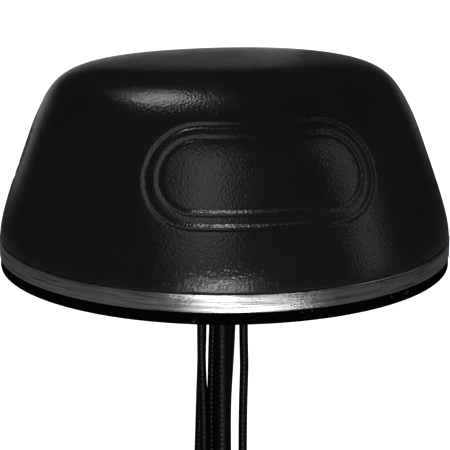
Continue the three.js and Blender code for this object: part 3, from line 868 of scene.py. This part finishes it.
SEAL_BORE = radius_of("radome_seal") - SEAL_WIDTH
make_flat_ring(
    "seal_ring", "radome_seal", SEAL_BORE, 0.1 * MM, FINE_COLUMNS, "seal_rubber", RUBBER
)
make_flat_ring(
    "foam_ring", "base_gasket", GASKET_BORE, 0.35 * MM, FINE_COLUMNS, "foam_gasket", FOAM
)
make_flat_ring(
    "flat_washer", "mounting_washer", WASHER_BORE, 0.2 * MM, 128, "plated_steel", ZINC,
    "washer",
)


# ---------------------------------------------------------------- stud and nut
THREAD_PITCH = 1.5 * MM
THREAD_DEPTH = 0.75 * MM
STUD_RADIUS = 12.5 * MM
STUD_BORE = 9.8 * MM
STUD_CHAMFER = 0.8 * MM
FLANGE_THICKNESS = 2.5 * MM
NUT_FLATS = 32 * MM
NUT_BORE = STUD_RADIUS + 0.25 * MM


def winding(radius_at, depth, low, high, fade):
    """A shape function: rows at the thread's radius get a V groove that winds once for each
    pitch and fades out over a short run at both ends."""

    def shape(radius, height, angle):
        groove = depth * zigzag(height, angle, THREAD_PITCH)
        ends = smooth((height - low) / fade) * smooth((high - height) / fade)
        return np.where(np.abs(radius - radius_at) < SAME, radius - groove * ends, radius)

    return shape


def make_stud():
    """Hollow stud with a flange on top and its whole outside threaded."""
    low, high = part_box("mounting_stud")
    bottom, top = low[2], high[2]
    flange = radius_of("mounting_stud")
    flange_bottom = top - FLANGE_THICKNESS
    threads = np.linspace(bottom + STUD_CHAMFER, flange_bottom, 170)
    section = [
        (STUD_BORE, bottom),
        (STUD_RADIUS - STUD_CHAMFER, bottom),
        *[(STUD_RADIUS, z) for z in threads],
        (flange, flange_bottom),
        (flange, top),
        (STUD_BORE, top),
    ]
    shape = winding(STUD_RADIUS, THREAD_DEPTH, bottom, flange_bottom, 1.2 * MM)
    rings = turned_rings(section, 120, shape)
    stud = piece_from("threaded_stud", *shell_arrays(rings, closed=True), sharp=math.radians(28))
    finish_piece(stud, "root", "plated_steel", ZINC, "mounting_stud")


def make_nut():
    """Hexagon nut with coned corners and a threaded bore."""
    low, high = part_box("mounting_nut")
    bottom, top = low[2], high[2]
    section = [
        (NUT_BORE + 0.5 * MM, bottom),
        *[(NUT_FLATS / 2, z) for z in np.linspace(bottom, top, 30)],
        (NUT_BORE + 0.5 * MM, top),
        *[(NUT_BORE, z) for z in np.linspace(top, bottom, 60)],
    ]
    shape = both(
        hexagonal(NUT_FLATS, bottom, top, 0.4),
        winding(NUT_BORE, -THREAD_DEPTH / 2, bottom, top, 0.6 * MM),
    )
    rings = turned_rings(section, 144, shape)
    nut = piece_from("hex_nut", *shell_arrays(rings, closed=True), sharp=math.radians(25))
    finish_piece(nut, "nut", "plated_steel", ZINC, "mounting_nut")


make_stud()
make_nut()


# ---------------------------------------------------------------- grommet
GROMMET_PLUG = 9.5 * MM
GROMMET_LIP = 1.2 * MM


def make_grommet():
    """Moulded plug with a rounded lip, a soft dish in its lower face and a rounded upper end."""
    low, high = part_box("cable_grommet")
    lip = radius_of("cable_grommet")
    lip_top = low[2] + GROMMET_LIP
    outline = [
        (lip - 1.6 * MM, low[2] + 0.12 * MM),
        (lip - 1.2 * MM, low[2]),
        (lip, low[2]),
        (lip, lip_top),
        (GROMMET_PLUG, lip_top),
        (GROMMET_PLUG, high[2]),
        (GROMMET_PLUG - 1.2 * MM, high[2]),
    ]
    steps = 4
    bent = rounded(outline, 0.35 * MM, steps)[steps:-steps]
    grommet = piece_from("moulded_grommet", *plug_arrays(bent, 120), sharp=math.radians(50))
    finish_piece(grommet, "root", "seal_rubber", RUBBER, "cable_grommet")


make_grommet()


# ---------------------------------------------------------------- screws
SCREW_PITCH = 0.5 * MM
SCREW_TIP = 0.4 * MM
SCREW_KINDS = {  # shaft radius, head radius, head height, whether its shaft points up
    "radome_screw": (1.5 * MM, 2.9 * MM, 1.9 * MM, True),
    "stud_screw": (1.25 * MM, 2.2 * MM, 1.6 * MM, False),
    "board_screw": (1.5 * MM, 2.8 * MM, 1.8 * MM, False),
}


def socket_shape(recess, shaft, under):
    """A shape function for a screw: the recess wall is a hexagon, and the shaft's rows get a V
    thread that fades out at its tip and under the head."""

    def shape(radius, height, angle):
        ends = smooth((height - SCREW_TIP) / SCREW_PITCH) * smooth((under - height) / SCREW_PITCH)
        thread = shaft - 0.36 * SCREW_PITCH * zigzag(height, angle, SCREW_PITCH) * ends
        radius = np.where(np.abs(radius - recess) < SAME / 10, six_sided(2 * recess, angle), radius)
        return np.where(np.abs(radius - shaft) < SAME / 10, thread, radius)

    return shape


def make_screw(node, shaft, head, head_height, points_up):
    """Pan-head screw with a hexagon recess."""
    low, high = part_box(node)
    length = high[2] - low[2]
    under = length - head_height
    recess = 0.42 * head
    rows = np.linspace(SCREW_TIP, under, int(under / SCREW_PITCH * 8))
    outline = [
        (shaft * 0.5, 0),
        (shaft * 0.9, 0.25 * MM),
        *[(shaft, z) for z in rows],
        (head * 0.98, under),
        (head, under + 0.2 * MM),
        (head, under + 0.45 * head_height),
        (head * 0.93, under + 0.8 * head_height),
        (head * 0.75, length),
        (recess * 1.2, length),
        (recess, length - 0.1 * MM),
        (recess, length - 0.6 * head_height),
        (recess * 0.4, length - 0.68 * head_height),
    ]
    rings = turned_rings(outline, 36, socket_shape(recess, shaft, under))
    if points_up:
        rings = rings * (1, -1, -1) + (0, 0, length)
    vertices, faces = shell_arrays(rings)
    screw = piece_from(f"{node}_turned", vertices + (*middle_of(node), low[2]), faces)
    finish_piece(screw, "root", "screw_steel", STEEL, node)


for name in sorted(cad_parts):
    kind = name.rpartition("_")[0]
    if kind in SCREW_KINDS:
        make_screw(name, *SCREW_KINDS[kind])


# ---------------------------------------------------------------- inside the dome
def block_arrays(x, y, bottom, top, length, width, corner, bevel, turn=0.0, taper=1.0):
    """A block with rounded corners and edges: rings of a rounded rectangle, each corner a
    quarter circle of eight steps, drawn in by the bevel at both ends. The length shrinks to
    its taper share at the top, and the block turns about its own upright axis."""
    quarter = np.linspace(0, TURN / 4, 8)
    angle = np.concatenate([quarter + i * TURN / 4 for i in range(4)])
    side_x = np.repeat([1, -1, -1, 1], 8)
    side_y = np.repeat([1, 1, -1, -1], 8)
    lift = np.array([0, 0.3, 1])
    levels = np.concatenate([bottom + bevel * lift, top - bevel * lift[::-1]])
    inset = bevel * np.array([1, 0.3, 0, 0, 0.3, 1])
    share = 1 + (taper - 1) * (levels - bottom) / (top - bottom)
    reach = corner - inset
    across = side_x * (length / 2 * share[:, None] - corner) + reach[:, None] * np.cos(angle)
    along = side_y * (width / 2 - corner) + reach[:, None] * np.sin(angle)
    cosine, sine = math.cos(turn), math.sin(turn)
    rings = np.stack(
        [
            x + across * cosine - along * sine,
            y + across * sine + along * cosine,
            np.repeat(levels[:, None], 32, axis=1),
        ],
        axis=-1,
    )
    return shell_arrays(rings)


def make_blocks(name, slot, material, blocks, *nodes):
    """Several blocks as one piece."""
    arrays = merged([block_arrays(*block) for block in blocks])
    piece = piece_from(name, *arrays, sharp=math.radians(18))
    finish_piece(piece, "root", slot, material, *nodes)


def box_block(node, corner, bevel):
    """A block that fills a node's box."""
    low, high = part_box(node)
    sides = high[0] - low[0], high[1] - low[1]
    return (*middle_of(node), low[2], high[2], *sides, corner, bevel)


BOARD_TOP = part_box("circuit_board")[1][2]
for patch in ("lower_patch", "upper_patch"):
    tile = box_block(patch, 1.2 * MM, 0.3 * MM)
    make_blocks(f"{patch}_fired", "ceramic", CERAMIC, [tile], patch)
CAN = box_block("amplifier_can", 0.8 * MM, 0.35 * MM)
make_blocks("screening_can", "tinned_metal", TIN, [CAN], "amplifier_can")


def make_electrodes():
    """Thin silvered squares on the patches; the lower one shows as a frame round the upper."""
    blocks = []
    for patch, margin in (("lower_patch", 3 * MM), ("upper_patch", 2.2 * MM)):
        low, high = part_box(patch)
        side = high[0] - low[0] - 2 * margin
        top = high[2]
        blocks.append((0, 0, top - 0.1 * MM, top + 0.04 * MM, side, side, 1.5 * MM, 0.03 * MM))
    make_blocks("patch_electrodes", "tinned_metal", TIN, blocks)


CHIPS = [  # x, y, length, width and height in mm
    (28, -21, 7, 7, 1.2), (34, -12, 4, 3, 0.9), (21, -28, 5, 4, 1.0), (-22, 26, 6, 6, 1.1),
    (-31, 17, 3, 5, 0.9), (26, 24, 5, 5, 1.0), (33, 15, 3, 2, 0.7), (-14, -27, 4, 4, 0.9),
    (14, 27, 3, 4, 0.8), (-36, 9, 2, 3, 0.7),
]


def make_board_chips():
    """Packages laid out round the board between the antennas."""
    corner, bevel = 0.3 * MM, 0.12 * MM
    blocks = [
        (x * MM, y * MM, BOARD_TOP, BOARD_TOP + h * MM, l * MM, w * MM, corner, bevel)
        for x, y, l, w, h in CHIPS
    ]
    make_blocks("board_chips", "circuit_board", SLEEVE, blocks)


ELEMENT_FACINGS = {  # degrees from +X in which each upright plate faces
    "mobile_element_1": 90, "mobile_element_2": 270,
    "wifi_element_1": 0, "wifi_element_2": 180, "wifi_element_3": 325,
}
MOBILE_WIDTHS = (44 * MM, 34 * MM)  # at the foot and at the top
WIFI_WIDTHS = (18 * MM, 12 * MM)


def make_elements():
    """Each upright plate with its rounded edge, and a copper foil on both of its faces."""
    foils = []
    for node, facing in ELEMENT_FACINGS.items():
        low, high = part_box(node)
        foot, top = MOBILE_WIDTHS if node.startswith("mobile") else WIFI_WIDTHS
        turn = math.radians(facing + 90)
        place = middle_of(node)
        edge = (1 * MM, 0.3 * MM, 0.15 * MM, turn, top / foot)
        plate = (*place, low[2], high[2], foot, *edge)
        make_blocks(f"{node}_plate", "circuit_board", BOARD, [plate], node)
        edge = (1.1 * MM, 0.2 * MM, 0.05 * MM, turn, top / foot)
        foils.append((*place, low[2] + 3 * MM, high[2] - 1.5 * MM, foot - 3 * MM, *edge))
    make_blocks("element_foils", "gold_plate", COPPER, foils)


BOARD_THICKNESS = 1.6 * MM
BOARD_HOLE = 3.2 * MM


def make_board():
    """Round board with a hole in its middle and softened edges."""
    edge = radius_of("circuit_board")
    outline = [
        (edge, BOARD_TOP - BOARD_THICKNESS),
        (edge, BOARD_TOP),
        (BOARD_HOLE, BOARD_TOP),
        (BOARD_HOLE, BOARD_TOP - BOARD_THICKNESS),
    ]
    board = piece_from("laminate_board", *ring_arrays(outline, 180, 0.15 * MM))
    finish_piece(board, "root", "circuit_board", BOARD, "circuit_board")


make_electrodes()
make_board_chips()
make_elements()
make_board()


def make_feed_pin():
    """Round pin with a domed solder joint on top of the upper patch."""
    low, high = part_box("feed_pin")
    radius = radius_of("feed_pin")
    joint = high[2] - 0.45 * MM
    outline = [
        (radius * 0.8, low[2]),
        (radius, low[2] + 0.1 * MM),
        (radius, joint - 0.02 * MM),
        (radius * 0.95, joint + 0.2 * MM),
        (radius * 0.6, high[2] - 0.05 * MM),
        (radius * 0.2, high[2]),
    ]
    pin = piece_from("soldered_pin", *moved(plug_arrays(outline, 24), (*middle_of("feed_pin"), 0)))
    finish_piece(pin, "root", "gold_plate", GOLD, "feed_pin")


make_feed_pin()


# ---------------------------------------------------------------- stage and light
FLOOR_LEVEL = cad_box[0][2] - 20 * MM
LIGHT_TARGET = (0, 0, 0.03)
LIGHT_DISTANCE = 1.1


def soft_panel(name, azimuth, elevation, across, up, radiance):
    """A soft panel seen from the object at an azimuth (0 in front, positive to the right) and
    an elevation, as many degrees across and up as given, with that radiance."""
    data = bpy.data.lights.new(name, "AREA")
    data.shape = "RECTANGLE"
    data.size = 2 * LIGHT_DISTANCE * math.tan(math.radians(across) / 2)
    data.size_y = 2 * LIGHT_DISTANCE * math.tan(math.radians(up) / 2)
    data.energy = radiance * math.pi * data.size * data.size_y
    lamp = bpy.data.objects.new(name, data)
    bpy.context.scene.collection.objects.link(lamp)
    a, e = math.radians(azimuth), math.radians(elevation)
    place = (
        LIGHT_TARGET[0] + LIGHT_DISTANCE * math.cos(e) * math.sin(a),
        LIGHT_TARGET[1] - LIGHT_DISTANCE * math.cos(e) * math.cos(a),
        LIGHT_TARGET[2] + LIGHT_DISTANCE * math.sin(e),
    )
    point_at(lamp, place, LIGHT_TARGET)
    lamp.visible_camera = False


PANELS = {  # azimuth, elevation, degrees across and up, radiance
    "low_front_strip": (-3, -3.5, 21, 2, 48),
    "front_sheet": (12, -25, 40, 8, 6.4),
    "front_panel": (-12, 33, 28, 38, 0.5),
    "front_panel_middle": (-10, 33, 14, 30, 0.65),
    "overhead_left": (-141, 68, 21, 9, 6.8),
    "right_strip": (76, 20, 9, 50, 0.85),
    "low_left": (-75, -20, 70, 14, 0.04),
    "backdrop_left": (-164, 0, 40, 12, 0.42),
    "backdrop_right": (165, 0, 28, 12, 0.16),
}
FLOOR_REACH = 8.0
SURROUND_FILL = 0.4  # strength for all rays but mirror and camera ones


def make_stage():
    """A pale floor below the hanging leads, which shows only from above, and a surround that is
    pale to the camera, grey to the shading and dark to the mirrors, a little less so below."""
    mesh = bpy.data.meshes.new("floor")
    reach = FLOOR_REACH
    corners = [(-reach, -reach), (reach, -reach), (reach, reach), (-reach, reach)]
    mesh.from_pydata([(x, y, FLOOR_LEVEL) for x, y in corners], [], [(0, 1, 2, 3)])
    floor = bpy.data.objects.new("floor", mesh)
    bpy.context.scene.collection.objects.link(floor)
    paint = bpy.data.materials.new("pale_floor")
    paint.use_nodes = True
    shader = paint.node_tree.nodes["Principled BSDF"]
    shader.inputs["Base Color"].default_value = (0.9, 0.9, 0.9, 1)
    shader.inputs["Roughness"].default_value = 0.9
    shader.inputs["Emission Color"].default_value = (1, 1, 1, 1)
    shader.inputs["Emission Strength"].default_value = 1.0
    underside = paint.node_tree.nodes.new("ShaderNodeMixShader")
    clear = paint.node_tree.nodes.new("ShaderNodeBsdfTransparent")
    facing = paint.node_tree.nodes.new("ShaderNodeNewGeometry")
    link = paint.node_tree.links.new
    link(facing.outputs["Backfacing"], underside.inputs[0])
    link(shader.outputs["BSDF"], underside.inputs[1])
    link(clear.outputs["BSDF"], underside.inputs[2])
    link(underside.outputs[0], paint.node_tree.nodes["Material Output"].inputs["Surface"])
    mesh.materials.append(paint)
    floor.visible_glossy = False
    floor.visible_diffuse = False
    floor.visible_shadow = False

    world = bpy.data.worlds.new("surround")
    bpy.context.scene.world = world
    world.use_nodes = True
    nodes, links = world.node_tree.nodes, world.node_tree.links
    background = nodes["Background"]
    background.inputs["Color"].default_value = (1, 1, 1, 1)
    split = nodes.new("ShaderNodeSeparateXYZ")
    links.new(nodes.new("ShaderNodeTexCoord").outputs["Generated"], split.inputs["Vector"])
    height = map_range(nodes, -0.25, -0.1, 0.06, 0.012)
    links.new(split.outputs["Z"], height.inputs["Value"])
    path = nodes.new("ShaderNodeLightPath")
    glossy = nodes.new("ShaderNodeMix")
    glossy.inputs["A"].default_value = SURROUND_FILL
    links.new(path.outputs["Is Glossy Ray"], glossy.inputs["Factor"])
    links.new(height.outputs["Result"], glossy.inputs["B"])
    seen = nodes.new("ShaderNodeMix")
    seen.inputs["B"].default_value = 1.0
    links.new(path.outputs["Is Camera Ray"], seen.inputs["Factor"])
    links.new(glossy.outputs["Result"], seen.inputs["A"])
    links.new(seen.outputs["Result"], background.inputs["Strength"])
    bpy.context.scene.view_settings.view_transform = "Standard"


for panel_name, panel in PANELS.items():
    soft_panel(panel_name, *panel)
make_stage()
